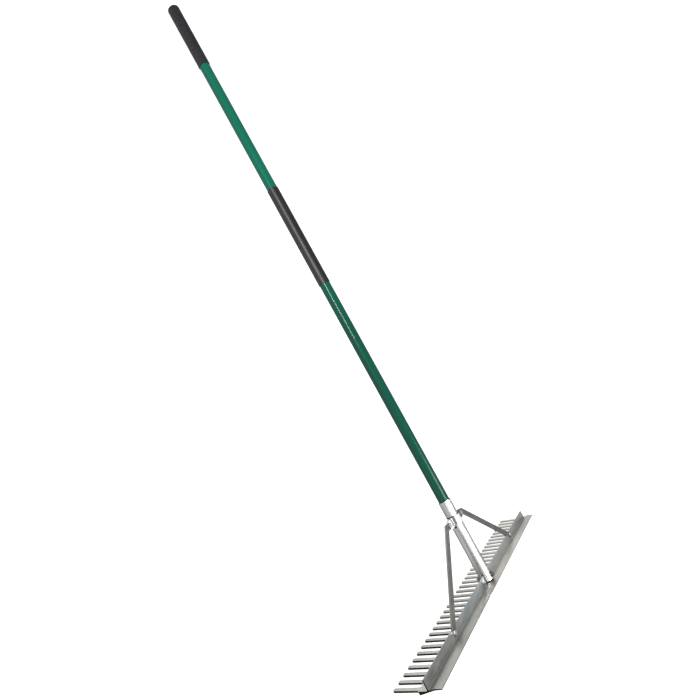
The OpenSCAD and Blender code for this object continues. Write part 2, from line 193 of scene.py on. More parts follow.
class Finish:
    """One procedural material, built node by node on Object coordinates in the rake's own frame.

    Tones that change along a piece are matched to the photograph, where light and reflections have a
    share in them. They are fixed to the piece, so every view shows them.
    """

    def __init__(self, name, colour, metallic, roughness):
        self.material = bpy.data.materials.new(name)
        self.material.use_nodes = True
        self.nodes = self.material.node_tree.nodes
        self.shader = self.nodes["Principled BSDF"]
        self.set(**{"Base Color": shade(colour, 1), "Metallic": metallic, "Roughness": roughness})
        coordinates = self.add("ShaderNodeTexCoord")
        own = self.add("ShaderNodeMapping")
        own.inputs["Rotation"].default_value = (-TILT, 0, 0)
        own.inputs["Location"].default_value = OWN.translation
        self.link(coordinates.outputs["Object"], own.inputs["Vector"])
        self.own = own.outputs["Vector"]
        self.normal = coordinates.outputs["Normal"]
        self.last_bump = None

    def add(self, kind):
        return self.nodes.new(kind)

    def link(self, source, target):
        self.material.node_tree.links.new(source, target)

    def set(self, **values):
        for name, value in values.items():
            self.shader.inputs[name].default_value = value

    def feed(self, target, source):
        """Links a socket, or sets a plain value on it."""
        if isinstance(source, bpy.types.NodeSocket):
            self.link(source, target)
        else:
            target.default_value = source

    def axis_part(self, vector, axis):
        node = self.add("ShaderNodeSeparateXYZ")
        self.link(vector, node.inputs["Vector"])
        return node.outputs[axis]

    def place(self, axis):
        """One coordinate of a point in the rake's own frame."""
        return self.axis_part(self.own, axis)

    def facing(self, axis):
        """One part of the direction that a surface faces, as the rake lies."""
        return self.axis_part(self.normal, axis)

    def round_angle(self):
        """Angle round the handle, from 0 to 1."""
        turn = self.add("ShaderNodeMapping")
        turn.inputs["Rotation"].default_value = (math.pi / 2, 0, 0)
        self.link(self.own, turn.inputs["Vector"])
        sweep = self.add("ShaderNodeTexGradient")
        sweep.gradient_type = "RADIAL"
        self.link(turn.outputs["Vector"], sweep.inputs["Vector"])
        return sweep.outputs["Fac"]

    def grain(self, scale, detail, roughness=0.55):
        """Noise with its own scale, per metre, along each axis of the rake."""
        stretch = self.add("ShaderNodeMapping")
        stretch.inputs["Scale"].default_value = scale
        self.link(self.own, stretch.inputs["Vector"])
        noise = self.add("ShaderNodeTexNoise")
        noise.inputs["Scale"].default_value = 1.0
        noise.inputs["Detail"].default_value = detail
        noise.inputs["Roughness"].default_value = roughness
        self.link(stretch.outputs["Vector"], noise.inputs["Vector"])
        return noise.outputs["Fac"]

    def remap(self, source, low, high, to_low, to_high):
        node = self.add("ShaderNodeMapRange")
        self.feed(node.inputs["Value"], source)
        for name, value in (("From Min", low), ("From Max", high), ("To Min", to_low), ("To Max", to_high)):
            node.inputs[name].default_value = value
        return node.outputs["Result"]

    def ramp(self, source, start, full, most=1.0):
        """A mask that is 0 up to the start and rises to the most at full; start may lie above full."""
        return self.remap(source, start, full, 0, most)

    def math(self, operation, first, second=0.0):
        node = self.add("ShaderNodeMath")
        node.operation = operation
        self.feed(node.inputs[0], first)
        self.feed(node.inputs[1], second)
        return node.outputs["Value"]

    def both(self, first, second):
        return self.math("MULTIPLY", first, second)

    def either(self, first, second):
        return self.math("MAXIMUM", first, second)

    def size_of(self, value):
        return self.math("ABSOLUTE", value)

    def blend(self, amount, first, second):
        """Mixes two colours."""
        node = self.add("ShaderNodeMix")
        node.data_type = "RGBA"
        self.feed(node.inputs["Factor"], amount)
        self.feed(node.inputs["A"], first)
        self.feed(node.inputs["B"], second)
        return node.outputs["Result"]

    def raise_by(self, height, strength, distance):
        """Adds one layer of bump."""
        bump = self.add("ShaderNodeBump")
        bump.inputs["Strength"].default_value = strength
        bump.inputs["Distance"].default_value = distance
        self.link(height, bump.inputs["Height"])
        if self.last_bump is not None:
            self.link(self.last_bump, bump.inputs["Normal"])
        self.last_bump = bump.outputs["Normal"]

    def done(self, colour, roughness=None):
        self.link(colour, self.shader.inputs["Base Color"])
        if roughness is not None:
            self.link(roughness, self.shader.inputs["Roughness"])
        if self.last_bump is not None:
            self.link(self.last_bump, self.shader.inputs["Normal"])
        return self.material


class HeadFinish(Finish):
    """Extruded aluminium of the head, with die lines along X and cloudy oxide."""

    def __init__(self, colour):
        super().__init__("extruded_aluminium", colour, 1.0, 0.36)
        self.colour = colour
        self.lines = self.grain((9, 2400, 2400), 3)
        self.clouds = self.grain((16, 55, 55), 5, 0.62)
        self.pits = self.grain((900, 900, 900), 3)
        self.along = self.place("X")
        self.out = self.place("Z")
        self.ahead = self.facing("Z")
        self.front = self.ramp(self.out, 0.0002, 0.0010)
        # The right half of the head, where painted light makes the teeth and their sheared sides paler.
        self.lit_right_half = self.ramp(self.along, -0.04, 0.10)
        self.patches = self.ramp(self.clouds, 0.34, 0.68)
        self.specks = self.ramp(self.pits, 0.3, 0.7)
        # The teeth behind the flange, which tooth_tones makes paler with painted light.
        self.teeth_zone = self.ramp(self.out, -0.003, -0.010)
        tip = self.both(self.ramp(self.out, -0.054, -0.058), self.ramp(self.ahead, -0.75, -0.9))
        self.sheared = self.either(self.ramp(self.size_of(self.facing("X")), 0.22, 0.5), tip)

    def patched(self, dark, light):
        """The head's colour in cloudy patches, between two shades of it."""
        return self.blend(self.patches, shade(self.colour, dark), shade(self.colour, light))

    def as_extruded(self):
        tone = self.patched(0.86, 1.08)
        tone = self.blend(self.ramp(self.lines, 0.35, 0.65, 0.22), tone, shade(self.colour, 0.72))
        broad = self.grain((2.5, 420, 420), 2)
        return self.blend(self.ramp(broad, 0.40, 0.66, 0.25), tone, shade(self.colour, 1.15))

    def tooth_tones(self, tone):
        """Teeth, made paler by painted light than the plate that they are punched from, and palest on the
        right half.
        """
        teeth = self.blend(self.lit_right_half, self.patched(0.98, 1.25), self.patched(1.35, 1.70))
        return self.blend(self.teeth_zone, tone, teeth)

    def flange_tones(self, tone):
        """Flange, with painted shade that darkens its ends and the left of the tube's foot, and painted
        light that makes it lighter towards the middle.
        """
        upright = self.both(self.front, self.ramp(self.ahead, 0.6, 0.85))
        tone = self.blend(upright, tone, self.patched(0.59, 0.75))
        from_middle = self.size_of(self.math("SUBTRACT", self.along, 0.1))
        # Painted light towards the flange's middle, bluish left of the tube and warmer right of it.
        left = self.blend(self.patches, (0.44, 0.465, 0.478, 1), (0.525, 0.55, 0.562, 1))
        # Painted shade on the flange just left of the tube's foot.
        left = self.blend(self.ramp(self.along, -0.075, -0.035, 0.66), left, shade(self.colour, 0.45))
        right = self.blend(self.patches, (0.425, 0.412, 0.394, 1), (0.505, 0.487, 0.465, 1))
        lighter = self.blend(self.ramp(self.along, -0.02, 0.03), left, right)
        return self.blend(self.both(upright, self.ramp(from_middle, 0.50, 0.08)), tone, lighter)

    def blade_tones(self, tone, blade_out):
        """Blade, with painted light that makes it bright on the right of the tube, and painted shade that
        makes it duller at its ends and dark along its outer edge.
        """
        sloped = self.both(self.front, self.ramp(self.ahead, 0.6, 0.4))
        past_tube = self.both(self.ramp(self.along, -0.01, 0.05), self.ramp(self.along, 0.36, 0.22))
        bright = self.blend(self.patches, (0.388, 0.377, 0.338, 1), (0.470, 0.456, 0.408, 1))
        tone = self.blend(self.both(sloped, past_tube), tone, bright)
        ends = self.either(self.ramp(self.along, -0.33, -0.41), self.ramp(self.along, 0.26, 0.42))
        tone = self.blend(self.both(sloped, ends), tone, self.patched(0.76, 0.94))
        # Painted shadow along the blade's outer edge.
        edge = self.both(self.ramp(self.out, blade_out - 0.0016, blade_out - 0.0008),
                         self.ramp(self.ahead, 0.55, 0.8))
        return self.blend(edge, tone, (0.02, 0.02, 0.019, 1))

    def shaded_sheared_sides(self, tone):
        """Sides of the teeth where the comb was punched, with painted shade: dark on the left and paler
        towards the right.
        """
        dark = self.blend(self.specks, (0.003, 0.003, 0.003, 1), (0.014, 0.014, 0.013, 1))
        dull_and_shaded = self.blend(self.specks, (0.09, 0.09, 0.088, 1), (0.18, 0.18, 0.175, 1))
        pale = self.blend(self.specks, (0.17, 0.17, 0.166, 1), (0.31, 0.31, 0.302, 1))
        sides = self.blend(self.ramp(self.along, -0.25, -0.10), dark, dull_and_shaded)
        sides = self.blend(self.lit_right_half, sides, pale)
        return self.blend(self.sheared, tone, sides)

    def polish(self):
        """Roughness: smoother along the die lines, rougher on the teeth and on sheared metal."""
        rough = self.remap(self.lines, 0.3, 0.7, 0.34, 0.46)
        rough = self.math("ADD", rough, self.remap(self.clouds, 0.35, 0.7, -0.04, 0.06))
        return self.math("ADD", rough, self.both(self.either(self.sheared, self.teeth_zone), 0.16))


def extruded_aluminium(colour, blade_out):
    """Head: mill finish with teeth made pale by painted light, and rougher metal where the comb was sheared,
    darkened there by painted shade.
    """
    f = HeadFinish(colour)
    tone = f.tooth_tones(f.as_extruded())
    tone = f.flange_tones(tone)
    tone = f.blade_tones(tone, blade_out)
    tone = f.shaded_sheared_sides(tone)
    f.raise_by(f.lines, 0.12, 0.00006)
    f.raise_by(f.pits, 0.08, 0.00005)
    return f.done(tone, f.polish())


def drawn_aluminium(colour, band_top):
    """Socket tube: bright, with painted shade that darkens it along its sides, fine lines up it, and a
    painted shadow as a dark ring above the clamp.
    """
    f = Finish("drawn_aluminium", colour, 1.0, 0.24)
    f.set(**{"Specular Tint": grey(0.1)})
    lines = f.grain((2600, 10, 2600), 3)
    smears = f.grain((70, 14, 70), 5, 0.6)
    nicks = f.grain((520, 110, 520), 2)
    tone = f.blend(f.ramp(smears, 0.35, 0.7), shade(colour, 0.93), shade(colour, 1.04))
    tone = f.blend(f.ramp(lines, 0.4, 0.62, 0.16), tone, shade(colour, 0.78))
    tone = f.blend(f.ramp(nicks, 0.66, 0.74, 0.45), tone, shade(colour, 0.6))
    # Painted shade on the sides that face down.
    low = f.math("ADD", f.facing("Z"), f.remap(smears, 0.3, 0.7, -0.06, 0.06))
    tone = f.blend(f.ramp(low, 0.40, 0.26, 0.92), tone, shade(colour, 0.26))
    # Painted shade in a dark streak where the tube turns towards +X.
    away = f.math("ADD", f.facing("X"), f.remap(smears, 0.3, 0.7, -0.04, 0.04))
    streak = f.both(f.ramp(away, -0.04, 0.14, 0.95), f.ramp(away, 0.72, 0.52))
    tone = f.blend(streak, tone, shade(colour, 0.10))
    # Painted shadow: a dark ring just above the clamp's band.
    up = f.place("Y")
    ring = f.both(f.ramp(up, band_top - 0.0004, band_top),
                  f.ramp(up, band_top + 0.0026, band_top + 0.0012, 0.94))
    tone = f.blend(ring, tone, grey(0.001))
    rough = f.math("ADD", f.remap(lines, 0.3, 0.7, 0.20, 0.30), f.remap(smears, 0.35, 0.7, -0.03, 0.05))
    f.raise_by(lines, 0.10, 0.00005)
    f.raise_by(nicks, 0.05, 0.00008)
    return f.done(tone, rough)


def dull_aluminium(colour):
    """Braces: flattened tube, matt, with rolling marks, and a painted highlight that makes their sides
    paler.
    """
    f = Finish("rolled_aluminium", colour, 1.0, 0.42)
    streaks = f.grain((60, 60, 1800), 4)
    clouds = f.grain((45, 45, 45), 5, 0.6)
    pits = f.grain((1200, 1200, 1200), 3)
    tone = f.blend(f.ramp(clouds, 0.34, 0.68), shade(colour, 0.84), shade(colour, 1.12))
    tone = f.blend(f.ramp(streaks, 0.4, 0.66, 0.22), tone, shade(colour, 0.7))
    # Painted highlight on the rounded sides.
    sides = f.ramp(f.size_of(f.facing("Z")), 0.7, 0.3)
    tone = f.blend(sides, tone, shade(colour, 1.7))
    rough = f.math("ADD", f.remap(clouds, 0.3, 0.7, 0.50, 0.62), f.remap(pits, 0.3, 0.7, -0.03, 0.03))
    f.raise_by(streaks, 0.08, 0.00006)
    f.raise_by(pits, 0.08, 0.00004)
    return f.done(tone, rough)


def zinc_plate(name, colour, roughness, strap=False):
    """Clamp straps and hardware: spangled zinc with warmer patches, and painted shade on a strap if it is
    one.
    """
    f = Finish(name, colour, 1.0, roughness)
    cells = f.add("ShaderNodeTexVoronoi")
    cells.inputs["Scale"].default_value = 420
    f.link(f.own, cells.inputs["Vector"])
    spangle = f.axis_part(cells.outputs["Color"], "X")
    clouds = f.grain((120, 120, 120), 4, 0.6)
    fine = f.grain((2200, 2200, 2200), 2)
    tone = f.blend(spangle, shade(colour, 0.9), shade(colour, 1.08))
    warm = (colour[0] * 1.02, colour[1] * 0.98, colour[2] * 0.86, 1)
    tone = f.blend(f.ramp(clouds, 0.4, 0.7, 0.6), tone, warm)
    if strap:
        tone = shaded_strap(f, tone, colour, clouds)
    rough = f.math("ADD", f.remap(clouds, 0.3, 0.7, roughness - 0.05, roughness + 0.08),
                   f.remap(spangle, 0, 1, -0.03, 0.03))
    f.raise_by(fine, 0.08, 0.00004)
    return f.done(tone, rough)


def shaded_strap(f, tone, colour, clouds):
    """Paints shade on a strap: darker beside the tube, on its right ear, and where the strip was cut off."""
    along = f.place("X")
    beside = f.math("ADD", f.size_of(along), f.remap(clouds, 0.3, 0.7, -0.0006, 0.0006))
    # Painted shade on the strap's bend beside the tube.
    rub_and_shade = f.both(f.ramp(beside, 0.0122, 0.0142), f.ramp(beside, 0.0275, 0.0245, 0.9))
    tone = f.blend(rub_and_shade, tone, shade(colour, 0.17))
    # Painted shade on the right ear.
    tone = f.blend(f.ramp(along, 0.010, 0.020, 0.92), tone, shade(colour, 0.12))
    # Painted shade on the cut edges.
    cut = f.ramp(f.size_of(f.facing("Y")), 0.7, 0.95)
    return f.blend(cut, tone, (0.035, 0.034, 0.032, 1))


def green_fibreglass(colour):
    """Handle: glass fibres in glossy green resin, with painted light that makes it paler towards the top and
    painted shade that darkens it underneath.
    """
    f = Finish("green_fibreglass", colour, 0.0, 0.30)
    f.set(**{"IOR": 1.52, "Specular IOR Level": 0.04, "Coat Weight": 0.17, "Coat Roughness": 0.07})
    fibres = f.grain((900, 5, 900), 4)
    bundles = f.grain((150, 1.6, 150), 3)
    clouds = f.grain((18, 7, 18), 4, 0.6)
    strands = f.ramp(fibres, 0.36, 0.64)
    up = f.place("Y")
    tone = f.blend(strands, shade(colour, 0.84), shade(colour, 1.14))
    tone = f.blend(f.ramp(bundles, 0.42, 0.64, 0.35), tone, shade(colour, 1.28))
    tone = f.blend(f.ramp(clouds, 0.4, 0.7, 0.22), tone, shade(colour, 0.75))
    # Painted light on the upper handle.
    painted_upper_light = f.blend(strands, shade(colour, 1.6), shade(colour, 2.08))
    tone = f.blend(f.ramp(up, 0.70, 1.15), tone, painted_upper_light)
    # Painted shade on the underside, strongest low on the handle.
    under = f.both(f.remap(f.facing("Z"), 0.45, -0.35, 0.04, 0.3), f.remap(up, 0.5, 0.9, 1.6, 1))
    tone = f.blend(under, tone, shade(colour, 0.3))
    rough = f.math("ADD", f.remap(fibres, 0.3, 0.7, 0.26, 0.36), f.remap(clouds, 0.35, 0.7, -0.03, 0.04))
    f.raise_by(fibres, 0.10, 0.00005)
    f.raise_by(bundles, 0.05, 0.0001)
    return f.done(tone, rough)


def grip_vinyl(name, colour, ribs, gloss, sheen):
    """Grips: moulded vinyl with a fine leathery skin, ribbed lengthwise and flecked on the end grip."""
    f = Finish(name, colour, 0.0, 0.48)
    f.set(**{"IOR": 1.5, "Specular IOR Level": sheen})
    skin = f.grain((1500, 1500, 1500), 3)
    rub_and_shade = f.grain((60, 16, 60), 4, 0.6)
    dust = f.grain((240, 120, 240), 4, 0.65)
    tone = f.blend(f.ramp(rub_and_shade, 0.36, 0.68), shade(colour, 0.80), shade(colour, 1.20))
    tone = f.blend(f.ramp(dust, 0.56, 0.76, 0.18), tone, (0.044, 0.047, 0.054, 1))
    rubbed = f.remap(rub_and_shade, 0.35, 0.7, gloss - 0.04, gloss + 0.06)
    rough = f.math("ADD", rubbed, f.remap(skin, 0.3, 0.7, -0.04, 0.04))
    if ribs:
        wave = f.math("SINE", f.math("MULTIPLY", f.round_angle(), 2 * math.pi * ribs))
        f.raise_by(wave, 0.55, 0.0004)
        flecks = f.grain((330, 170, 330), 3, 0.7)
        tone = f.blend(f.ramp(flecks, 0.52, 0.66, 0.6), tone, (0.020, 0.0215, 0.025, 1))
        f.raise_by(flecks, 0.35, 0.0006)
    f.raise_by(skin, 0.16, 0.00008)
    return f.done(tone, rough)


def turned_wood(colour):
    """Core plug: plain turned wood, growth rings along the handle."""
    f = Finish("turned_wood", colour, 0.0, 0.6)
    rings = f.grain((260, 9, 70), 5, 0.6)
    pores = f.grain((1400, 40, 1400), 3)
    tone = f.blend(f.ramp(rings, 0.35, 0.66), shade(colour, 0.7), shade(colour, 1.18))
    tone = f.blend(f.ramp(pores, 0.56, 0.7, 0.4), tone, shade(colour, 0.45))
    f.raise_by(pores, 0.2, 0.0002)
    return f.done(tone, f.remap(rings, 0.3, 0.7, 0.52, 0.68))


def settled(bm, name, material, slot, *nodes):
    """Makes a piece of a bmesh that is already in its place, and lets it stand for CAD nodes."""
    mesh = bpy.data.meshes.new(name)
    bm.to_mesh(mesh)
    bm.free()
    if not mesh.polygons:
        raise RuntimeError(f"{name} has no faces")
    mesh.materials.append(material)
    mesh.shade_smooth()
    piece = bpy.data.objects.new(name, mesh)
    bpy.context.scene.collection.objects.link(piece)
    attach(piece, "root")
    if nodes:
        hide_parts(*nodes)
    return piece


def merged(node):
    """A bmesh of a CAD node with its flat faces joined up."""
    bm = bmesh.new()
    bm.from_mesh(frame["nodes"][node].data)
    bmesh.ops.remove_doubles(bm, verts=bm.verts, dist=SAME_POINT)
    bmesh.ops.dissolve_limit(
        bm, angle_limit=SAME_PLANE, use_dissolve_boundaries=False,
        verts=bm.verts, edges=bm.edges)
    return bm


def rolled(node, material, slot, roll, shape=None):
    """A merged copy of a CAD node, or a shape made from one, with a small roll on its sharp edges."""
    piece = settled(shape or merged(node), node + "_finished", material, slot, node)
    edge = piece.modifiers.new("edge_roll", "BEVEL")
    edge.width = roll
    edge.segments = 2
    edge.limit_method = "ANGLE"
    edge.angle_limit = SHARP_EDGE
    edge.use_clamp_overlap = True
    even_normals(piece)


def even_normals(piece):
    """Lets the large faces of a piece set its shading, so that its small rolled edges don't bend it."""
    even = piece.modifiers.new("even_normals", "WEIGHTED_NORMAL")
    even.weight = 100


def turned(profile):
    """A bmesh spun round the handle's axis from points of radius and height, in its place."""
    bm = bmesh.new()
    ring = [bm.verts.new((radius, height, 0)) for radius, height in profile]
    edges = [bm.edges.new(pair) for pair in zip(ring, ring[1:] + ring[:1])]
    bmesh.ops.spin(
        bm, geom=ring + edges, cent=(0, 0, 0), axis=(0, 1, 0), dvec=(0, 0, 0),
        angle=2 * math.pi, steps=TURN_STEPS, use_merge=True, use_duplicate=False)
    bmesh.ops.remove_doubles(bm, verts=bm.verts, dist=SAME_POINT)
    bmesh.ops.recalc_face_normals(bm, faces=bm.faces)
    bmesh.ops.transform(bm, matrix=REST, verts=bm.verts)
    return bm


def own_box(node, side=0):
    """Lowest and highest corner of a CAD node in the rake's own frame; side keeps one of a pair."""
    points = [OWN @ v.co for v in frame["nodes"][node].data.vertices]
    points = [p for p in points if side == 0 or p.x * side > 0]
    low = Vector(min(p[i] for p in points) for i in range(3))
    high = Vector(max(p[i] for p in points) for i in range(3))
    return low, high


def middle_of(node, side=0):
    low, high = own_box(node, side)
    return (low + high) / 2


def radius_of(node):
    low, high = own_box(node)
    return (high.x - low.x) / 2


def fuller_teeth(pitch, gap_kept, depth):
    """The head with its gaps drawn in towards their middles and its teeth thickened from below."""
    comb_start = -0.004
    end_margin = 0.003
    downward = -0.2
    bm = merged("rake_head")
    bm.normal_update()
    turn = OWN.to_3x3()
    ends = own_box("rake_head")[1].x - end_margin
    for vert in bm.verts:
        place = OWN @ vert.co
        if place.z > comb_start:
            continue
        if abs(place.x) < ends:
            middle = pitch * round(place.x / pitch)
            place.x = middle + (place.x - middle) * gap_kept
        if (turn @ vert.normal).y < downward:
            place.y -= depth
        vert.co = REST @ place
    return bm


class RAKE_OT_head(bpy.types.Operator):
    """Finishes the toothed head: fuller teeth and rolled edges on an extruded, punched aluminium section"""
    bl_idname = "rake.head"
    bl_label = "Rake head"

    def execute(self, context):
        scene = context.scene
        sizes = scene.rake_sizes
        metal = extruded_aluminium(scene.rake_colours.head, own_box("rake_head")[1].z)
        comb = fuller_teeth(sizes.tooth_pitch, sizes.gap_kept, sizes.tooth_depth)
        rolled("rake_head", metal, "head_aluminium", sizes.edge_roll * EXTRUDED_ROLL, shape=comb)
        return {"FINISHED"}


class RAKE_OT_socket(bpy.types.Operator):
    """Finishes the socket tube and the rivet that holds the handle in it"""
    bl_idname = "rake.socket"
    bl_label = "Socket tube and rivet"

    def execute(self, context):
        scene = context.scene
        roll = scene.rake_sizes.edge_roll
        metal = drawn_aluminium(scene.rake_colours.tube, own_box("clamp_front")[1].y)
        rolled("socket_tube", metal, "tube_aluminium", roll * EXTRUDED_ROLL)
        steel = zinc_plate("dark_rivet", scene.rake_colours.rivet, 0.45)
        rolled("handle_rivet", steel, "tube_aluminium", roll)
        return {"FINISHED"}


class RAKE_OT_handle(bpy.types.Operator):
    """Makes the fibreglass handle and finishes its wooden core"""
    bl_idname = "rake.handle"
    bl_label = "Handle"

    def execute(self, context):
        scene = context.scene
        low, high = own_box("handle")
        outer = radius_of("handle")
        inner = outer - scene.rake_sizes.handle_wall
        ease = 0.0006
        profile = [
            (inner, low.y), (outer - ease, low.y), (outer, low.y + ease),
            (outer, high.y - ease), (outer - ease, high.y), (inner, high.y)]
        glass = green_fibreglass(scene.rake_colours.fibreglass)
        even_normals(settled(turned(profile), "handle_finished", glass, "green_fibreglass", "handle"))
        core = frame["nodes"]["handle_plug"].data
        core.materials.clear()
        core.materials.append(turned_wood(scene.rake_colours.core))
        return {"FINISHED"}


def eased_rim(outer, end, ease, inward):
    """Points round the outer edge of a grip's end; inward is 1 at its foot and -1 at its top."""
    nick = 0.0002
    return [(outer - ease, end), (outer - nick, end + inward * nick), (outer, end + inward * ease)]


def end_grip_profile(inner, cap, dome):
    """Half section of the end grip, with its closed end rounded."""
    low, high = own_box("end_grip")
    outer = radius_of("end_grip")
    angles = [math.radians(step) for step in range(0, 91, 6)]
    arc = [(outer - dome + dome * math.cos(a), high.y - dome + dome * math.sin(a)) for a in angles]
    closed = [(0, high.y), (0, high.y - cap), (inner, high.y - cap)]
    return [(inner, low.y)] + eased_rim(outer, low.y, 0.0007, 1) + arc + closed


def mid_grip_profile(inner):
    """Half section of the middle grip, open at both ends."""
    low, high = own_box("mid_grip")
    outer = radius_of("mid_grip")
    foot = eased_rim(outer, low.y, 0.0006, 1)
    top = eased_rim(outer, high.y, 0.0006, -1)
    return [(inner, low.y)] + foot + top[::-1] + [(inner, high.y)]


class RAKE_OT_grips(bpy.types.Operator):
    """Makes the ribbed end grip and the smooth middle grip"""
    bl_idname = "rake.grips"
    bl_label = "Grips"

    def execute(self, context):
        scene = context.scene
        sizes = scene.rake_sizes
        black = scene.rake_colours.vinyl
        inner = radius_of("handle") + sizes.grip_play
        ribbed = grip_vinyl("ribbed_vinyl", black, sizes.grip_ribs, 0.55, 0.2)
        end_grip = turned(end_grip_profile(inner, sizes.grip_cap, sizes.grip_dome))
        even_normals(settled(end_grip, "end_grip_finished", ribbed, "grip_vinyl", "end_grip"))
        smooth = grip_vinyl("smooth_vinyl", shade(black, 0.4), 0, 0.47, 0.32)
        mid_grip = turned(mid_grip_profile(inner))
        even_normals(settled(mid_grip, "mid_grip_finished", smooth, "grip_vinyl", "mid_grip"))
        return {"FINISHED"}


def nearest_on(path, point):
    """The point of a path of straight stretches that lies nearest to a point."""
    spots = []
    for start, end in zip(path, path[1:]):
        run = end - start
        along = max(0.0, min(1.0, (point - start).dot(run) / run.length_squared))
        spots.append(start + run * along)
    return min(spots, key=lambda spot: (point - spot).length)


def flattened_tube(node, side, knee, broaden, roll):
    """A brace's CAD node, pressed out to the tube's full width, with round sides."""
    wall_slack = 0.0003
    face_slack = 0.0001
    low, high = own_box(node)
    clamp = middle_of("clamp_bolts", side).to_2d()
    foot = middle_of("brace_bolts", side).to_2d()
    path = (clamp, clamp + Vector((side * knee, 0)), foot)
    half = foot.y - low.y
    bm = merged(node)
    pressed = set()
    for vert in bm.verts:
        place = OWN @ vert.co
        out = place.to_2d() - nearest_on(path, place.to_2d())
        if out.length > half - wall_slack:
            vert.co = REST @ (place + (out.normalized() * broaden).to_3d())
            if abs(place.z) > high.z - face_slack:
                pressed.add(vert)
    rims = [edge for edge in bm.edges
            if pressed.issuperset(edge.verts) and edge.calc_face_angle(0) > math.radians(60)]
    bmesh.ops.bevel(
        bm, geom=rims, offset=roll, offset_type="OFFSET", segments=3, profile=0.5,
        affect="EDGES", clamp_overlap=False, material=-1)
    return bm


class RAKE_OT_braces(bpy.types.Operator):
    """Makes the two flattened-tube braces"""
    bl_idname = "rake.braces"
    bl_label = "Braces"

    def execute(self, context):
        scene = context.scene
        sizes = scene.rake_sizes
        metal = dull_aluminium(scene.rake_colours.brace)
        for node, side in (("brace_left", -1), ("brace_right", 1)):
            tube = flattened_tube(node, side, sizes.brace_knee, sizes.brace_spread, sizes.brace_roll)
            even_normals(settled(tube, node + "_finished", metal, "brace_aluminium", node))
        return {"FINISHED"}


class RAKE_OT_clamp(bpy.types.Operator):
    """Finishes the two bent straps of the clamp"""
    bl_idname = "rake.clamp"
    bl_label = "Clamp"

    def execute(self, context):
        scene = context.scene
        plate = zinc_plate("zinc_strap", scene.rake_colours.strap, 0.38, strap=True)
        for node in ("clamp_front", "clamp_back"):
            rolled(node, plate, "clamp_steel", scene.rake_sizes.edge_roll * STRAP_ROLL)
        return {"FINISHED"}


def wind_thread(bm, middle, z_from, z_to, radius, pitch, depth):
    """Winds a thread down a bolt's end, round its shank, from one height to another."""
    crest_from, crest_to, width = 0.34, 0.46, 0.8
    turns = max(1.0, (z_from - z_to) / pitch - width)
    root = radius - depth / 2
    crest = radius + depth / 2
    corners = ((root, 0), (crest, crest_from), (crest, crest_to), (root, width))
    ring = [bm.verts.new((middle.x + reach, middle.y, z_from - drop * pitch)) for reach, drop in corners]
    edges = [bm.edges.new(pair) for pair in zip(ring, ring[1:] + ring[:1])]
    bm.faces.new(ring)
    made = bmesh.ops.spin(
        bm, geom=edges, cent=(middle.x, middle.y, 0), axis=(0, 0, 1), dvec=(0, 0, -pitch / THREAD_STEPS),
        angle=2 * math.pi * turns, steps=int(THREAD_STEPS * turns), use_merge=False, use_duplicate=False)
    last = [item for item in made["geom_last"] if isinstance(item, bmesh.types.BMEdge)]
    bmesh.ops.edgeloop_fill(bm, edges=last)


class RAKE_OT_hardware(bpy.types.Operator):
    """Finishes the bolts, nuts and washers, with threads on the bolts' ends"""
    bl_idname = "rake.hardware"
    bl_label = "Bolts, nuts and washers"

    def execute(self, context):
        scene = context.scene
        sizes = scene.rake_sizes
        plate = zinc_plate("zinc_hardware", scene.rake_colours.zinc, 0.32)
        # A darker, rougher copy of the zinc, painted shade, for the socket bolt, its nut and its saddles.
        dull_and_shaded = zinc_plate("dull_shaded_zinc", shade(scene.rake_colours.zinc, 0.22), 0.55)
        threads = bmesh.new()
        for bolt, nut, washer, sides in FASTENERS:
            metal = dull_and_shaded if bolt == "socket_bolt" else plate
            for node in (bolt, nut, washer):
                rolled(node, metal, "zinc_hardware", sizes.edge_roll * FASTENER_ROLL)
            for side in sides:
                nut_end = own_box(nut, side)[0].z
                bolt_end = own_box(bolt, side)[0].z
                wind_thread(threads, middle_of(bolt, side), nut_end, bolt_end,
                            sizes.shank / 2, sizes.thread_pitch, sizes.thread_depth)
        bmesh.ops.recalc_face_normals(threads, faces=threads.faces)
        bmesh.ops.transform(threads, matrix=REST, verts=threads.verts)
        settled(threads, "bolt_threads", plate, "zinc_hardware")
        return {"FINISHED"}


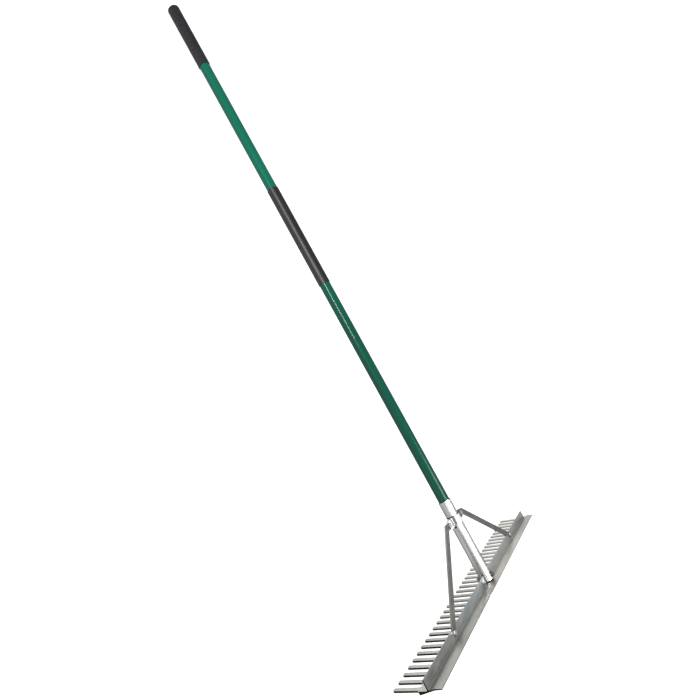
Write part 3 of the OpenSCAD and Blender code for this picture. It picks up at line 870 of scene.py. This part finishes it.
class RAKE_OT_studio(bpy.types.Operator):
    """Sets the pale floor, the soft light and the camera"""
    bl_idname = "rake.studio"
    bl_label = "Studio"

    # The sky's colours by height, ahead of the camera and behind it
    SKY_AHEAD = (
        (0.0, grey(1.04)), (0.20, grey(1.04)), (0.33, (0.66, 0.72, 0.78, 1)), (0.62, (0.60, 0.65, 0.70, 1)),
        (0.85, (0.50, 0.51, 0.52, 1)), (0.94, grey(0.8)), (1.0, grey(0.8)))
    SKY_BEHIND = (
        (0.0, grey(1.04)), (0.25, grey(1.04)), (0.29, grey(0.25)), (0.32, grey(0.27)),
        (0.42, grey(0.75)), (0.62, grey(0.5)), (1.0, grey(0.8)))
    # Half the width of the band in which the two skies run into each other
    SKY_SEAM = 0.25
    # The camera's place and directions, in the rake's own frame
    CAMERA_AT = Vector((-1.4593, 0.4503, 0.6670))
    CAMERA_RIGHT = Vector((0.4313, -0.4772, 0.7656))
    CAMERA_UP = Vector((0.1069, 0.8697, 0.4819))

    def execute(self, context):
        scene = context.scene
        studio = scene.rake_studio
        self.floor(studio)
        self.sky(scene, studio)
        self.lamp("overhead", studio.overhead, place=(-0.5, -1.05, 1.75),
                  target=(-0.2, -0.95, 0), size=(0.8, 1.2))
        self.lamp("strip", studio.strip, place=(-1.8, 0.56, 0.70),
                  target=(0, 0.3, 0.02), size=(0.95, 0.25), roll=12.5)
        self.camera(scene, studio)
        scene.view_settings.view_transform = "Standard"
        return {"FINISHED"}

    def floor(self, studio):
        """A wide flat floor that gives off light of its own, a hair under the tooth tips."""
        reach = 60
        gap = 0.0002
        bm = bmesh.new()
        bmesh.ops.create_grid(bm, x_segments=1, y_segments=1, size=reach)
        bmesh.ops.translate(bm, vec=(0, 0, -gap), verts=bm.verts)
        mesh = bpy.data.meshes.new("floor")
        bm.to_mesh(mesh)
        bm.free()
        f = Finish("pale_floor", studio.floor, 0.0, 0.9)
        f.set(**{"Specular IOR Level": 0.1, "Emission Color": grey(1), "Emission Strength": studio.glow})
        mottle = f.grain((3, 3, 3), 4)
        tone = f.blend(f.ramp(mottle, 0.3, 0.7), shade(studio.floor, 0.99), shade(studio.floor, 1.0))
        mesh.materials.append(f.done(tone))
        floor = bpy.data.objects.new("floor", mesh)
        bpy.context.scene.collection.objects.link(floor)

    def sky(self, scene, studio):
        """Soft light from all round, white low down so that the floor shows no horizon, and greyer above."""
        world = bpy.data.worlds.new("studio_sky")
        world.use_nodes = True
        scene.world = world
        nodes, links = world.node_tree.nodes, world.node_tree.links
        background = nodes["Background"]
        background.inputs["Strength"].default_value = studio.sky
        coordinates = nodes.new("ShaderNodeTexCoord")
        split = nodes.new("ShaderNodeSeparateXYZ")
        links.new(coordinates.outputs["Generated"], split.inputs["Vector"])
        side = nodes.new("ShaderNodeMapRange")
        side.inputs["From Min"].default_value = -self.SKY_SEAM
        side.inputs["From Max"].default_value = self.SKY_SEAM
        links.new(split.outputs["X"], side.inputs["Value"])
        mix = nodes.new("ShaderNodeMix")
        mix.data_type = "RGBA"
        links.new(side.outputs["Result"], mix.inputs["Factor"])
        for stops, end in ((self.SKY_BEHIND, "A"), (self.SKY_AHEAD, "B")):
            ramp = self.height_ramp(nodes, stops)
            links.new(split.outputs["Z"], ramp.inputs["Fac"])
            links.new(ramp.outputs["Color"], mix.inputs[end])
        links.new(mix.outputs["Result"], background.inputs["Color"])

    def height_ramp(self, nodes, stops):
        ramp = nodes.new("ShaderNodeValToRGB")
        for place, _ in stops[1:-1]:
            ramp.color_ramp.elements.new(place)
        for stop, (place, colour) in zip(ramp.color_ramp.elements, stops):
            stop.position = place
            stop.color = colour
        return ramp

    def lamp(self, name, power, place, target, size, roll=0):
        light = bpy.data.lights.new(name, "AREA")
        light.shape = "RECTANGLE"
        light.size, light.size_y = size
        light.energy = power
        lamp = bpy.data.objects.new(name, light)
        lamp.location = place
        aim = (Vector(target) - Vector(place)).to_track_quat("-Z", "Y").to_matrix()
        lamp.rotation_euler = (aim @ Matrix.Rotation(math.radians(roll), 3, "Z")).to_euler()
        bpy.context.scene.collection.objects.link(lamp)

    def camera(self, scene, studio):
        """Sets the photograph's view."""
        data = bpy.data.cameras.new("studio_camera")
        data.sensor_width = 36
        data.lens = studio.lens
        data.clip_start, data.clip_end = 0.05, 100
        back = self.CAMERA_RIGHT.cross(self.CAMERA_UP).normalized()
        up = back.cross(self.CAMERA_RIGHT).normalized()
        turn = Matrix((self.CAMERA_RIGHT.normalized(), up, back)).transposed().to_4x4()
        camera = bpy.data.objects.new("studio_camera", data)
        camera.matrix_world = REST @ Matrix.Translation(self.CAMERA_AT) @ turn
        scene.collection.objects.link(camera)
        scene.camera = camera


STEPS = (RAKE_OT_head, RAKE_OT_socket, RAKE_OT_handle, RAKE_OT_grips,
         RAKE_OT_braces, RAKE_OT_clamp, RAKE_OT_hardware, RAKE_OT_studio)


class RAKE_PT_panel(bpy.types.Panel):
    """Lists the rake's pieces and the studio"""
    bl_idname = "RAKE_PT_panel"
    bl_label = "Landscape rake"
    bl_space_type = "VIEW_3D"
    bl_region_type = "UI"
    bl_category = "Rake"

    def draw(self, context):
        column = self.layout.column()
        for group in (context.scene.rake_sizes, context.scene.rake_colours, context.scene.rake_studio):
            for name in group.__annotations__:
                column.prop(group, name)
        for step in STEPS:
            column.operator(step.bl_idname)


CLASSES = (RakeSizes, RakeColours, StudioSettings, *STEPS, RAKE_PT_panel)


def register():
    for each in CLASSES:
        bpy.utils.register_class(each)
    bpy.types.Scene.rake_sizes = bpy.props.PointerProperty(type=RakeSizes)
    bpy.types.Scene.rake_colours = bpy.props.PointerProperty(type=RakeColours)
    bpy.types.Scene.rake_studio = bpy.props.PointerProperty(type=StudioSettings)


def unregister():
    del bpy.types.Scene.rake_studio
    del bpy.types.Scene.rake_colours
    del bpy.types.Scene.rake_sizes
    for each in reversed(CLASSES):
        bpy.utils.unregister_class(each)


def main():
    register()
    bpy.ops.rake.head()
    bpy.ops.rake.socket()
    bpy.ops.rake.handle()
    bpy.ops.rake.grips()
    bpy.ops.rake.braces()
    bpy.ops.rake.clamp()
    bpy.ops.rake.hardware()
    bpy.ops.rake.studio()


if __name__ == "__main__":
    main()
